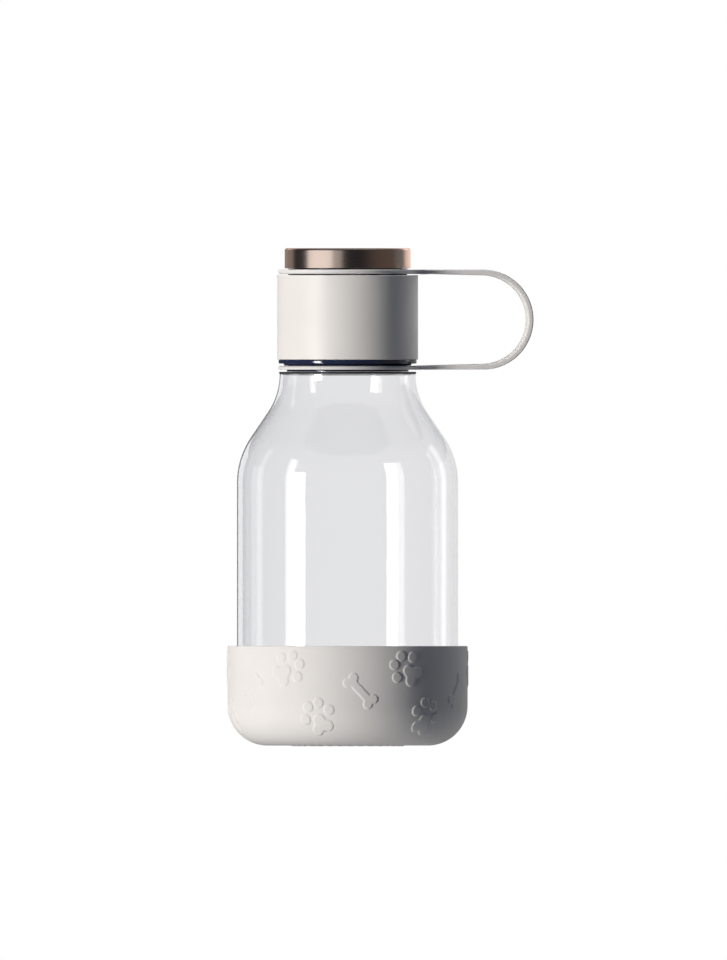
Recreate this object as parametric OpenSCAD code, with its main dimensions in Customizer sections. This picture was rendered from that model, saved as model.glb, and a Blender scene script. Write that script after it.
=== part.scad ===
// Travel water bottle for a dog walk: a clear bottle that stands in its own drinking bowl,
// a wide screw lid with a carry strap round it, and a small metal screw cap on the spout.
// Millimetres, +Z up, origin on the axis, in the plane that the bottle stands on.
// The strap's loop points to +X.

/* [Bowl] */
// Height of the bowl from its underside to its rim
bowl_h = 44; // [42:0.1:50]
// Thickness of the bowl's wall
bowl_wall = 3.2; // [2.8:0.1:4]
// Thickness of the bowl's floor
bowl_floor = 3.6; // [3.2:0.1:4.4]
// How much sharper the bowl's inner corner is than the bottle's foot
corner_ease = 1.1; // [0.8:0.1:2]
// Rounding of the bowl's rim
rim_round = 0.8; // [0.3:0.1:1.2]
// Height of the raised paws and bones
relief_h = 0.45; // [0.2:0.05:0.8]

/* [Motifs] */
// Number of times that the set of motifs goes round the bowl
motif_sets = 3; // [1:1:3]
// Height of the upper paws' main pads above the bowl's underside
upper_paw_z = 31.5; // [31:0.1:33]
// Height of the bones' centres above the bowl's underside
bone_z = 24.1; // [23:0.1:26]
// Height of the lower paws' main pads above the bowl's underside
lower_paw_z = 9.3; // [8:0.1:11]
// Radius of a toe pad
toe_r = 2.3; // [1.8:0.1:2.4]
// Radius of a knob at a bone's end
knob_r = 2; // [1.8:0.1:2.2]
// Distance between the knobs at a bone's two ends
bone_l = 13; // [10:0.1:13.5]

/* [Base pad] */
// Diameter of the soft pad under the bowl
pad_d = 54; // [48:1:60]
// Thickness of the pad, without its studs
pad_t = 1.5; // [1:0.1:2]
// Diameter of the plain disc in the middle of the pad
pad_centre_d = 13; // [10:0.5:16]
// Height of the studs
stud_h = 0.3; // [0.2:0.05:0.5]
// Diameter of a stud
stud_d = 2.6; // [2:0.1:3]
// Distance between studs and between rings of studs
stud_pitch = 4.6; // [4:0.1:6]

/* [Bottle] */
// Outer diameter of the bottle's body
bottle_d = 97.7; // [94:0.1:98]
// Thickness of the bottle's wall
bottle_wall = 2.2; // [1.8:0.1:2.6]
// Height of the straight side and the foot, up to the shoulder
body_h = 112.4; // [90:0.1:140]
// Outer radius of the corner at the bottle's foot
foot_r = 15.5; // [15.5:0.1:17]
// Height of the hollow under the bottle
punt_h = 5; // [4.6:0.1:7]
// Width of the ring that the bottle stands on
foot_land = 3.35; // [2.5:0.05:6]
// Height of the shoulder between the straight side and the ledge
shoulder_h = 48.1; // [47.6:0.1:54]
// Lean of the shoulder where it is flattest, over the lean of a straight line from the side to the throat
shoulder_swing = 1.592; // [1.3:0.001:1.9]
// Share of the shoulder's curve that is convex
shoulder_share = 0.542; // [0.4:0.001:0.6]
// How far the bottle's throat lies in from the flange over it
throat_inset = 0.5; // [0.2:0.05:1]
// Height of the lower grip ring above the bottle's foot
grip_z = 21; // [19:0.5:24]
// Distance between the two grip rings
grip_pitch = 8; // [6:0.5:10]
// Thickness of a grip ring's round section
grip_t = 1.6; // [1.4:0.1:1.9]

/* [Neck] */
// Outer diameter of the bottle's neck, between its threads
neck_d = 47.6; // [46:0.1:48]
// Thickness of the neck's wall
neck_wall = 2.2; // [1.8:0.1:2.6]
// Height of the neck above the ledge
neck_h = 25; // [22:0.5:27]
// Travel of the lid in one turn
lid_lead = 12; // [11:0.5:13]
// Thickness of the gasket on the ledge
neck_gasket_t = 1.3; // [1:0.1:1.6]

/* [Lid] */
// Gap between the lid's skirt and the sleeve round it
sleeve_space = 3.1; // [2.6:0.1:5]
// Height of the sleeve
sleeve_h = 37.3; // [35:0.1:42]
// Thickness of the sleeve's wall and of its top lip
sleeve_wall = 1.4; // [1.2:0.1:1.6]
// Thickness of the lid core's skirt, where the strap's lower ring turns on it
skirt_wall = 1.2; // [1:0.1:1.3]
// Thickness of the lid core's ceiling and deck
plate_t = 2; // [1.5:0.1:2.4]
// How far the flange that the sleeve stands on lies in from the sleeve's side
flange_inset = 0.6; // [0.3:0.1:1]
// Height of the flange
flange_h = 1.8; // [1.4:0.1:2.4]
// How far the step under the flange lies in from the flange's side
step_inset = 2.1; // [1.5:0.1:2.6]
// Height of the step under the flange
step_h = 0.9; // [0.7:0.1:1.4]
// Thickness of the gasket at the bottle's mouth
mouth_gasket_t = 1.3; // [1:0.1:1.6]

/* [Spout] */
// Bore of the drinking spout
spout_bore_d = 37.2; // [35:0.1:37.6]
// Wall of the spout, between its threads
spout_wall = 2.4; // [2:0.1:2.6]
// Wall of the boss, where the strap's upper ring turns on it
boss_wall = 1.3; // [1:0.1:1.4]
// Travel of the cap in one turn
cap_lead = 6; // [5.5:0.5:6.5]

/* [Cap] */
// How far the metal cap stands out past the boss
cap_proud = 1.35; // [1.1:0.05:2]
// Height of the metal cap
cap_h = 8.9; // [8.4:0.1:11]
// Thickness of the metal cap's sheet
shell_t = 0.8; // [0.6:0.1:1]
// Rounding of the metal cap's top edge
cap_round = 1.1; // [0.5:0.1:1.5]
// Thickness of the insert's top
insert_t = 1.8; // [1.5:0.1:2.2]
// Thickness of the insert's two skirts
insert_wall = 1.8; // [1.4:0.1:1.9]
// Thickness of the cap's gasket
cap_gasket_t = 1.4; // [1:0.1:1.6]

/* [Strap] */
// How far the strap's two rings stand out past the flange
strap_proud = 0.2; // [0:0.05:0.8]
// Thickness of the strap at its rings
strap_t = 1.65; // [1.4:0.05:2]
// Thickness of the strap round its loop
loop_t = 2.3; // [2:0.1:2.8]
// Width of the strap's loop
loop_w = 15; // [12:0.5:20]
// Length of the strap's two arms, from its rings to the half circle
arm_l = 29.3; // [27:0.1:45]
// Radius of the hollow curves where the loop widens into its rings
strap_fillet_r = 33; // [24:1:36]

/* [Fits] */
// Gap between the bottle's side and the bowl's wall
bowl_gap = 0.95; // [0.6:0.05:1.2]
// Gap between the grip rings and the bowl's wall
grip_gap = 0.15; // [0.1:0.05:0.3]
// Gap between a thread's crest and the wall across from it
thread_gap = 0.3; // [0.25:0.05:0.4]
// Gap between a ring of the strap and the groove that it turns in
strap_gap = 0.25; // [0.2:0.05:0.35]
// Gap between faces that slide or turn on each other
run_gap = 0.1; // [0.05:0.05:0.2]
// Gap between pieces that are pressed together
press_gap = 0.05; // [0.03:0.01:0.08]

/* [Hidden] */

$fn = 96;
eps = 0.01;          // how far a cut runs past a face
arc_step = 4;        // degrees between the points of an arc
skirt_lip_h = 0.4;   // lip under the strap's lower ring
skirt_lip = 0.6;     // how far it stands out from the groove
skirt_step = 0.3;    // how far the skirt above the groove stands out from it
boss_step_h = 0.75;  // height of the boss over the sleeve's top, under the strap's upper ring
boss_lip_h = 0.35;   // lip over the strap's upper ring
boss_lip = 0.75;     // how far it stands out from the groove
pilot_h = 3;         // height of the ring that centres the sleeve
gasket_lap = 0.6;    // how far the mouth's gasket reaches into the bottle's neck
cap_gasket_lap = 1.5; // how far the cap's gasket reaches into the spout's bore
insert_rim = 1.2;    // wall of the insert behind the metal
insert_gap = 0.5;    // gap between the insert's skirt and the deck
insert_inset = 0.3;  // how far the insert's rim ends above the metal's edge
lid_run_in = 2.5;    // height from the neck's mouth down to the top of its threads
cap_run_in = 1.8;    // height from the spout's mouth down to the top of its threads

// Heights, from the ground up
bowl_z = stud_h;
foot_z = bowl_z + bowl_floor + run_gap;
shoulder_z = foot_z + body_h;
ledge_z = shoulder_z + shoulder_h;
skirt_z = ledge_z + neck_gasket_t + run_gap;
lower_groove_z = skirt_z + skirt_lip_h;
lower_ring_z = lower_groove_z + press_gap;
step_z = lower_ring_z + strap_t + run_gap;
flange_z = step_z + step_h;
sleeve_z = flange_z + flange_h;
sleeve_top_z = sleeve_z + sleeve_h;
deck_z = sleeve_top_z - sleeve_wall;
boss_seat_z = sleeve_top_z + boss_step_h;
upper_ring_z = boss_seat_z + press_gap;
strap_top_z = upper_ring_z + strap_t;
boss_lip_z = strap_top_z + run_gap;
boss_top_z = boss_lip_z + boss_lip_h;
cap_z = boss_top_z + run_gap;
cap_top_z = cap_z + cap_h;
insert_top_z = cap_top_z - shell_t;
cap_ceiling_z = insert_top_z - insert_t;
spout_top_z = cap_ceiling_z - cap_gasket_t;
neck_top_z = ledge_z + neck_h;
ceiling_z = neck_top_z + mouth_gasket_t;
ceiling_top_z = ceiling_z + plate_t;

// Threads: ridges that start at even angles round the axis and wind upwards
lid_starts = 3;
cap_starts = 2;
lid_sweep = 220;     // degrees that each ridge winds
cap_sweep = 270;
thread_step = 10;    // degrees between a ridge's cross-sections
thread_start = 4;    // bearing where the first ridge starts, off the seam of the wall that it stands on
thread_fade = 3;     // cross-sections over which a ridge grows to its full height
thread_depth = 1;    // height of a ridge over its wall
thread_sink = 0.4;   // how deep its root lies in the wall
root_half = 0.8;     // half of its width at the root
crest_half = 0.4;    // half of its width at the crest
thread_slack = 0.15; // gap at the flanks that draw the lid down
// Height between two meshing ridges: their half widths where they pass each other, and the slack
thread_offset = 2 * root_half + thread_slack
    - (root_half - crest_half) * (thread_depth + thread_gap + 2 * thread_sink) / (thread_depth + thread_sink);
lid_thread_z = neck_top_z - lid_run_in - lid_lead * lid_sweep / 360;
cap_thread_z = spout_top_z - cap_run_in - cap_lead * cap_sweep / 360;

// Lid, from the neck outwards
neck_r = neck_d / 2;
neck_in_r = neck_r - neck_wall;
skirt_in_r = neck_r + thread_depth + thread_gap;
skirt_groove_r = skirt_in_r + skirt_wall;
skirt_r = skirt_groove_r + skirt_step;
skirt_lip_r = skirt_groove_r + skirt_lip;
sleeve_in_r = skirt_r + sleeve_space;
sleeve_r = sleeve_in_r + sleeve_wall;
pilot_r = sleeve_in_r - press_gap;
flange_r = sleeve_r - flange_inset;
step_r = flange_r - step_inset;

// Spout and cap, from the bore outwards
spout_bore_r = spout_bore_d / 2;
spout_r = spout_bore_r + spout_wall;
insert_in_r = spout_r + thread_depth + thread_gap;
insert_skirt_r = insert_in_r + insert_wall;
boss_in_r = insert_skirt_r + thread_gap;
boss_groove_r = boss_in_r + boss_wall;
boss_r = boss_groove_r + boss_lip;
cap_r = boss_r + cap_proud;
cap_in_r = cap_r - shell_t;
insert_r = cap_in_r - press_gap;

// Bottle
bottle_r = bottle_d / 2;
foot_flat_r = bottle_r - foot_r;
punt_r = foot_flat_r - foot_land;
punt_curve_r = (punt_r * punt_r + punt_h * punt_h) / (2 * punt_h);
throat_r = flange_r - throat_inset;
// Shoulder: a convex arc, a hollow arc and the line that touches both
shoulder_w = bottle_r - throat_r;
shoulder_a = shoulder_swing * atan(shoulder_w / shoulder_h);
shoulder_curves = (shoulder_h * sin(shoulder_a) - shoulder_w * cos(shoulder_a)) / (1 - cos(shoulder_a));
shoulder_r = shoulder_share * shoulder_curves;
throat_curve_r = shoulder_curves - shoulder_r;
shoulder_c = [bottle_r - shoulder_r, shoulder_z];
throat_c = [throat_r + throat_curve_r, ledge_z];

// Bowl
bowl_in_r = bottle_r + bowl_gap;
bowl_r = bowl_in_r + bowl_wall;
bowl_in_corner_r = foot_r - corner_ease;
bowl_corner_r = bowl_in_corner_r + bowl_wall;
pad_r = pad_d / 2;
// Angle from one set of motifs to the next
motif_turn = 120;

// Grip rings and their grooves
grip_r = grip_t / 2;
grip_ring_r = bowl_in_r - grip_gap - grip_r;
groove_r = grip_ring_r - grip_r - press_gap;
grip_zs = [foot_z + grip_z, foot_z + grip_z + grip_pitch];

// Strap
strap_ring_r = flange_r + strap_proud;
loop_r = (strap_top_z - lower_ring_z) / 2;
loop_c = [strap_ring_r + arm_l, lower_ring_z + loop_r];

// Points along an arc
function arc(c, r, a0, a1) =
    let (n = max(2, ceil(abs(a1 - a0) / arc_step)))
    [for (i = [0:n]) c + r * [cos(a0 + (a1 - a0) * i / n), sin(a0 + (a1 - a0) * i / n)]];

// A flat ring
module ring(r_in, r_out, h) {
    difference() {
        cylinder(r = r_out, h = h);
        translate([0, 0, -eps])
            cylinder(r = r_in, h = h + 2 * eps);
    }
}

// Cross-section of a ridge at angle a; side is 1 for a ridge that stands outwards, -1 for inwards
function ridge_section(r, side, z, a, share) =
    let (r_root = r - side * thread_sink, r_crest = r + side * thread_depth * share,
        half = root_half - (root_half - crest_half) * share)
    [for (p = [[r_root, -root_half], [r_crest, -half], [r_crest, half], [r_root, root_half]])
        [p[0] * cos(a), p[0] * sin(a), z + p[1]]];

// A ridge that winds round the axis and fades into the wall at both ends
module ridge(r, side, lead, z, sweep) {
    n = ceil(sweep / thread_step);
    sections = [for (i = [0:n])
        let (a = sweep * i / n, share = min(1, (i + 1) / thread_fade, (n - i + 1) / thread_fade))
        ridge_section(r, side, z + lead * a / 360, a, share)];
    walls = [for (i = [0:n - 1], k = [0:3])
        let (a = 4 * i + k, b = 4 * i + (k + 1) % 4)
        each [[a, b, a + 4], [b, b + 4, a + 4]]];
    ends = [[0, 2, 1], [0, 3, 2], [4 * n, 4 * n + 1, 4 * n + 2], [4 * n, 4 * n + 2, 4 * n + 3]];
    faces = [for (f = concat(walls, ends)) side > 0 ? f : [f[2], f[1], f[0]]];
    polyhedron([for (s = sections) each s], faces);
}

module thread(starts, r, side, lead, z, sweep) {
    for (i = [0:starts - 1])
        rotate(thread_start + 360 * i / starts)
            ridge(r, side, lead, z, sweep);
}

// ---- Bowl ----

// Half section of the bowl's outside, grown by a margin
module bowl_outside(margin) {
    corner = bowl_corner_r + margin;
    polygon(concat([[0, -margin]],
        arc([bowl_r - bowl_corner_r, bowl_corner_r], corner, -90, 0),
        [[bowl_r + margin, bowl_h - rim_round], [0, bowl_h - rim_round]]));
}

// Paw with its toes towards +Y and its main pad at the origin
module paw() {
    for (side = [-1, 1]) {
        translate([2.5 * side, 9.3])
            circle(r = toe_r);
        translate([5.9 * side, 4.65])
            circle(r = toe_r);
        translate([2.7 * side, -1.5])
            circle(r = 2.4);
    }
    translate([0, 2.3])
        circle(r = 2.6);
    polygon([[-2.7, -3.5], [2.7, -3.5], [4.6, -0.1], [2.4, 3.3], [-2.4, 3.3], [-4.6, -0.1]]);
}

// Bone that lies along X
module bone() {
    for (end = [-1, 1], side = [-1, 1])
        translate([end * bone_l / 2, side * 0.85 * knob_r])
            circle(r = knob_r);
    square([bone_l, 1.7 * knob_r], center = true);
}

// Stands a flat shape up on the bowl's side, at a bearing from the front, turned about its middle
module on_side(bearing, height, turn) {
    depth = 14;
    rotate(bearing)
        translate([0, -bowl_r - 1, height])
            rotate([90, 0, 0])
                rotate(turn)
                    translate([0, 0, -depth])
                        linear_extrude(height = depth)
                            children();
}

module motif_set() {
    on_side(-34, upper_paw_z, -47) paw();
    on_side(31.7, upper_paw_z, 49) paw();
    on_side(6.2, bone_z, -47) bone();
    on_side(65, bone_z, 50) bone();
    on_side(-14.2, lower_paw_z, 21) paw();
    on_side(40, lower_paw_z, -15) paw();
}

// The motifs, as a skin that reaches into the bowl's wall
module motifs() {
    intersection() {
        for (i = [0:motif_sets - 1])
            rotate(motif_turn * i)
                motif_set();
        rotate_extrude()
            difference() {
                bowl_outside(relief_h);
                bowl_outside(-bowl_wall / 2);
            }
    }
}

module dog_bowl() {
    rim_z = bowl_h - rim_round;
    in_corner_z = bowl_floor + bowl_in_corner_r;
    color("whitesmoke")
        translate([0, 0, bowl_z])
            difference() {
                union() {
                    rotate_extrude()
                        polygon(concat([[0, 0]],
                            arc([bowl_r - bowl_corner_r, bowl_corner_r], bowl_corner_r, -90, 0),
                            arc([bowl_r - rim_round, rim_z], rim_round, 0, 90),
                            arc([bowl_in_r + rim_round, rim_z], rim_round, 90, 180),
                            arc([bowl_in_r - bowl_in_corner_r, in_corner_z], bowl_in_corner_r, 0, -90),
                            [[0, bowl_floor]]));
                    motifs();
                }
                translate([0, 0, -eps])
                    cylinder(r = pad_r + press_gap, h = pad_t + eps);
            }
}

module base_pad() {
    rings = floor((pad_r - stud_d / 2 - pad_centre_d / 2) / stud_pitch);
    color("gainsboro") {
        translate([0, 0, bowl_z])
            cylinder(r = pad_r, h = pad_t);
        cylinder(d = pad_centre_d, h = bowl_z + eps);
        for (i = [1:rings]) {
            r = pad_centre_d / 2 + i * stud_pitch - stud_d / 2;
            count = floor(2 * PI * r / stud_pitch);
            for (k = [0:count - 1])
                rotate(360 * k / count)
                    translate([r, 0, 0])
                        cylinder(d = stud_d, h = bowl_z + eps, $fn = 24);
        }
    }
}

// ---- Bottle ----

// Half section of the bottle's outside, or of its hollow when it is shrunk by its wall
module bottle_section(wall, neck, top) {
    curve_r = punt_curve_r + wall;
    curve_z = foot_z + punt_h - punt_curve_r;
    floor_z = foot_z + wall;
    edge_a = asin((floor_z - curve_z) / curve_r);
    throat_end_a = 180 + asin(wall / (throat_curve_r + wall));
    polygon(concat(
        arc([0, curve_z], curve_r, 90, edge_a),
        arc([foot_flat_r, foot_z + foot_r], foot_r - wall, -90, 0),
        arc(shoulder_c, shoulder_r - wall, 0, shoulder_a),
        arc(throat_c, throat_curve_r + wall, 180 + shoulder_a, throat_end_a),
        [[neck, ledge_z - wall], [neck, top], [0, top]]));
}

module bottle_body() {
    color("lightsteelblue", 0.4)
        union() {
            rotate_extrude()
                difference() {
                    bottle_section(0, neck_r, neck_top_z);
                    bottle_section(bottle_wall, neck_in_r, neck_top_z + eps);
                    for (z = grip_zs)
                        translate([groove_r, z - grip_r - run_gap])
                            square([grip_t, grip_t + 2 * run_gap]);
                }
            thread(lid_starts, neck_r, 1, lid_lead, lid_thread_z, lid_sweep);
        }
}

module grip_rings() {
    color("silver")
        for (z = grip_zs)
            translate([0, 0, z])
                rotate_extrude()
                    translate([grip_ring_r, 0])
                        circle(r = grip_r, $fn = 32);
}

module neck_gasket() {
    color("dimgray")
        translate([0, 0, ledge_z])
            ring(neck_r + press_gap, flange_r, neck_gasket_t);
}

// ---- Lid ----

module mouth_gasket() {
    color("dimgray")
        translate([0, 0, neck_top_z + press_gap])
            ring(neck_in_r - gasket_lap, skirt_in_r - run_gap, mouth_gasket_t - 2 * press_gap);
}

module lid_core() {
    color("midnightblue")
        union() {
            rotate_extrude()
                polygon([
                    [skirt_in_r, skirt_z], [skirt_lip_r, skirt_z],
                    [skirt_lip_r, lower_groove_z], [skirt_groove_r, lower_groove_z],
                    [skirt_groove_r, step_z], [step_r, step_z],
                    [step_r, flange_z], [flange_r, flange_z],
                    [flange_r, sleeve_z], [pilot_r, sleeve_z],
                    [pilot_r, sleeve_z + pilot_h], [skirt_r, sleeve_z + pilot_h],
                    [skirt_r, ceiling_top_z], [spout_r, ceiling_top_z],
                    [spout_r, deck_z - plate_t], [pilot_r, deck_z - plate_t],
                    [pilot_r, deck_z], [boss_r, deck_z],
                    [boss_r, boss_seat_z], [boss_groove_r, boss_seat_z],
                    [boss_groove_r, boss_lip_z], [boss_r, boss_lip_z],
                    [boss_r, boss_top_z], [boss_in_r, boss_top_z],
                    [boss_in_r, deck_z], [spout_r, deck_z],
                    [spout_r, spout_top_z], [spout_bore_r, spout_top_z],
                    [spout_bore_r, ceiling_z], [skirt_in_r, ceiling_z]]);
            thread(lid_starts, skirt_in_r, -1, lid_lead, lid_thread_z - thread_offset, lid_sweep);
            thread(cap_starts, spout_r, 1, cap_lead, cap_thread_z, cap_sweep);
        }
}

module collar_sleeve() {
    lip_in_r = boss_r + press_gap;
    color("white")
        rotate_extrude()
            polygon([[sleeve_in_r, sleeve_z], [sleeve_r, sleeve_z], [sleeve_r, sleeve_top_z],
                [lip_in_r, sleeve_top_z], [lip_in_r, deck_z], [sleeve_in_r, deck_z]]);
}

// ---- Strap ----

// The strap seen from above, without the holes in its rings
module strap_plan() {
    half = loop_w / 2;
    fillet_y = half + strap_fillet_r;
    fillet_x = sqrt(pow(strap_ring_r + strap_fillet_r, 2) - fillet_y * fillet_y);
    fillet_a = atan2(fillet_y, fillet_x);
    circle(r = strap_ring_r);
    translate([0, -half])
        square([loop_c[0] + loop_r + 1, loop_w]);
    polygon(concat(
        arc([fillet_x, fillet_y], strap_fillet_r, 270, 180 + fillet_a),
        arc([fillet_x, -fillet_y], strap_fillet_r, 180 - fillet_a, 90)));
}

// The strap seen from the side: two flat arms and the half circle that joins them
module strap_side() {
    in_r = loop_r - loop_t;
    difference() {
        union() {
            translate([-strap_ring_r - 1, lower_ring_z])
                square([strap_ring_r + 1 + loop_c[0], 2 * loop_r]);
            translate(loop_c)
                circle(r = loop_r);
        }
        translate(loop_c)
            circle(r = in_r);
        polygon([
            [-strap_ring_r - 2, lower_ring_z + strap_t], [strap_ring_r, lower_ring_z + strap_t],
            [loop_c[0], loop_c[1] - in_r], [loop_c[0], loop_c[1] + in_r],
            [strap_ring_r, upper_ring_z], [-strap_ring_r - 2, upper_ring_z]]);
    }
}

module carry_strap() {
    height = 2 * loop_r + 2;
    color("white")
        difference() {
            intersection() {
                translate([0, 0, lower_ring_z - 1])
                    linear_extrude(height = height)
                        strap_plan();
                translate([0, strap_ring_r + 1, 0])
                    rotate([90, 0, 0])
                        linear_extrude(height = 2 * strap_ring_r + 2)
                            strap_side();
            }
            translate([0, 0, lower_ring_z - 1])
                cylinder(r = skirt_groove_r + strap_gap, h = loop_r);
            translate([0, 0, loop_c[1]])
                cylinder(r = boss_groove_r + strap_gap, h = height);
        }
}

// ---- Cap ----

module cap_gasket() {
    color("dimgray")
        translate([0, 0, spout_top_z + press_gap])
            ring(spout_bore_r - cap_gasket_lap, insert_in_r - run_gap, cap_gasket_t - 2 * press_gap);
}

module cap_insert() {
    skirt_bottom_z = deck_z + insert_gap;
    rim_z = cap_z + insert_inset;
    rim_in_r = insert_r - insert_rim;
    color("midnightblue")
        union() {
            rotate_extrude()
                polygon([
                    [0, cap_ceiling_z], [insert_in_r, cap_ceiling_z],
                    [insert_in_r, skirt_bottom_z], [insert_skirt_r, skirt_bottom_z],
                    [insert_skirt_r, cap_ceiling_z], [rim_in_r, cap_ceiling_z],
                    [rim_in_r, rim_z], [insert_r, rim_z],
                    [insert_r, insert_top_z], [0, insert_top_z]]);
            thread(cap_starts, insert_in_r, -1, cap_lead, cap_thread_z - thread_offset, cap_sweep);
        }
}

module metal_cap() {
    color("rosybrown")
        rotate_extrude()
            polygon(concat([[cap_in_r, cap_z], [cap_r, cap_z]],
                arc([cap_r - cap_round, cap_top_z - cap_round], cap_round, 0, 90),
                [[0, cap_top_z], [0, insert_top_z], [cap_in_r, insert_top_z]]));
}

dog_bowl();
base_pad();
bottle_body();
grip_rings();
neck_gasket();
mouth_gasket();
lid_core();
collar_sleeve();
carry_strap();
cap_gasket();
cap_insert();
metal_cap();
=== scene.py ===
# %% [markdown]
# # A water bottle for walks with a dog
# The bottle stands in its own drinking bowl. A wide lid screws on its neck, a soft strap turns
# freely round the lid, and a small metal cap closes the spout. The frame comes first: it holds
# the solids that the real joints move, and every piece made here rides on one of its bodies.

# %% The frame
from math import asin, atan, atan2, cos, degrees, hypot, pi, radians, sin, sqrt, tan

import bmesh
import bpy
import numpy as np
from mathutils import Matrix, Vector


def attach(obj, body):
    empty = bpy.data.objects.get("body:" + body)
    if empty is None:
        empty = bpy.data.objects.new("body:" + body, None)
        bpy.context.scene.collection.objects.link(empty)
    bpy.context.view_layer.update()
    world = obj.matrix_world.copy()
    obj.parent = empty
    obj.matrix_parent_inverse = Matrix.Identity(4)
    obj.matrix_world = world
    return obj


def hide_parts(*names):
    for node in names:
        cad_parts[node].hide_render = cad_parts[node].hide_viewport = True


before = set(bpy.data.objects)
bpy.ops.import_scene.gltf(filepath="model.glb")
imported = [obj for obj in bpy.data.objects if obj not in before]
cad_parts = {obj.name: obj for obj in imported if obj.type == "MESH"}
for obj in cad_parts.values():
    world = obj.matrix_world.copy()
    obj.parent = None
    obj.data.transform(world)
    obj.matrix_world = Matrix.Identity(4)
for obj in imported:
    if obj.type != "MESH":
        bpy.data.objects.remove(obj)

for extra in ("Cube", "Camera", "Light"):
    if extra in bpy.data.objects:
        bpy.data.objects.remove(bpy.data.objects[extra])
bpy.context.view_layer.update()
print("nodes:", sorted(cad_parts))

# %% [markdown]
# ## The camera
# The view is straight from the side, with no perspective, so an orthographic camera fits. Its
# scale is the height of the frame, because the frame is taller than it is wide.

# %% Camera
MM = 0.001
VIEW_HEIGHT, VIEW_X, VIEW_Z = 424, 7, 117.6
camera_data = bpy.data.cameras.new("side_camera")
camera_data.type = "ORTHO"
camera_data.ortho_scale = VIEW_HEIGHT * MM
camera_data.clip_end = 10
camera = bpy.data.objects.new("side_camera", camera_data)
camera.location = (VIEW_X * MM, -1, VIEW_Z * MM)
camera.rotation_euler = (pi / 2, 0, 0)
bpy.context.scene.collection.objects.link(camera)
bpy.context.scene.camera = camera
print("camera at", tuple(round(v, 4) for v in camera.location))

# %% [markdown]
# ## Sizes
# All sizes are in millimetres, as on a drawing, and follow the solids of the frame. Heights count
# from the ground up, radii from the axis out. What fits in something else takes its size from it,
# and a few small gaps keep the pieces apart: for a press fit, a running fit or a thread.

# %% Gaps
PRESS_GAP, RUN_GAP, GRIP_GAP, STRAP_GAP, THREAD_GAP, BOWL_GAP = 0.05, 0.1, 0.15, 0.25, 0.3, 0.95
print("the bottle has", BOWL_GAP, "mm round it in the bowl")

# %% Heights
BOWL = dict(z=0.3, height=44, floor=3.6, wall=3.2, rim=0.4)
BODY_H, SHOULDER_H, NECK_H = 112.4, 48.1, 25
NECK_SEAL_T, MOUTH_SEAL_T, CAP_SEAL_T = 1.3, 1.3, 1.4
LOWER_LIP_H, STEP_H, FLANGE_H, SLEEVE_H, SLEEVE_T = 0.45, 0.9, 1.8, 37.3, 1.4
BOSS_STEP_H, UPPER_LIP_H, STRAP_T = 0.8, 0.45, 1.65
CAP_H, METAL_T, INSERT_T = 8.9, 0.8, 1.8

FOOT_Z = BOWL["z"] + BOWL["floor"] + RUN_GAP
SHOULDER_Z = FOOT_Z + BODY_H
LEDGE_Z = SHOULDER_Z + SHOULDER_H
NECK_TOP_Z = LEDGE_Z + NECK_H
CEILING_Z = NECK_TOP_Z + MOUTH_SEAL_T
SKIRT_Z = LEDGE_Z + NECK_SEAL_T + RUN_GAP
LOWER_RING_Z = SKIRT_Z + LOWER_LIP_H
STEP_Z = LOWER_RING_Z + STRAP_T + RUN_GAP
FLANGE_Z = STEP_Z + STEP_H
SLEEVE_Z = FLANGE_Z + FLANGE_H
SLEEVE_TOP_Z = SLEEVE_Z + SLEEVE_H
DECK_Z = SLEEVE_TOP_Z - SLEEVE_T
UPPER_RING_Z = SLEEVE_TOP_Z + BOSS_STEP_H
STRAP_TOP_Z = UPPER_RING_Z + STRAP_T
BOSS_TOP_Z = STRAP_TOP_Z + UPPER_LIP_H
CAP_Z = BOSS_TOP_Z + RUN_GAP
CAP_TOP_Z = CAP_Z + CAP_H
INSERT_TOP_Z = CAP_TOP_Z - METAL_T
CAP_CEILING_Z = INSERT_TOP_Z - INSERT_T
SPOUT_TOP_Z = CAP_CEILING_Z - CAP_SEAL_T
print("lid from", round(SKIRT_Z, 2), "to", round(BOSS_TOP_Z, 2), "- cap top", round(CAP_TOP_Z, 2))

# %% Radii
BOTTLE_R, BOTTLE_WALL, FOOT_R, PUNT_R, PUNT_H = 48.85, 2.2, 15.5, 30, 5
NECK_R, NECK_IN_R, SPOUT_R, SPOUT_BORE_R = 23.8, 21.6, 21, 18.6
RIDGE_H = 1
SKIRT_WALL, SKIRT_STEP, SLEEVE_SPACE = 1.2, 0.3, 3.1
FLANGE_INSET, STEP_INSET, THROAT_INSET, RING_PROUD = 0.6, 2.1, 0.5, 0.2
INSERT_WALL, BOSS_WALL, BOSS_LIP, CAP_PROUD = 1.8, 1.3, 0.75, 1.35
BOWL_CORNER_R, PAD_R = 17.6, 27
GRIP_R, GRIP_Z, GRIP_PITCH = 0.8, 21, 8

BOWL_IN_R = BOTTLE_R + BOWL_GAP
BOWL_R = BOWL_IN_R + BOWL["wall"]
SKIRT_IN_R = NECK_R + RIDGE_H + THREAD_GAP
SKIRT_GROOVE_R = SKIRT_IN_R + SKIRT_WALL
SKIRT_R = SKIRT_GROOVE_R + SKIRT_STEP
SLEEVE_IN_R = SKIRT_R + SLEEVE_SPACE
SLEEVE_R = SLEEVE_IN_R + SLEEVE_T
PILOT_R = SLEEVE_IN_R - PRESS_GAP
FLANGE_R = SLEEVE_R - FLANGE_INSET
STEP_R = FLANGE_R - STEP_INSET
THROAT_R = FLANGE_R - THROAT_INSET
STRAP_RING_R = FLANGE_R + RING_PROUD
INSERT_IN_R = SPOUT_R + RIDGE_H + THREAD_GAP
INSERT_SKIRT_R = INSERT_IN_R + INSERT_WALL
BOSS_IN_R = INSERT_SKIRT_R + THREAD_GAP
BOSS_GROOVE_R = BOSS_IN_R + BOSS_WALL
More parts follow.
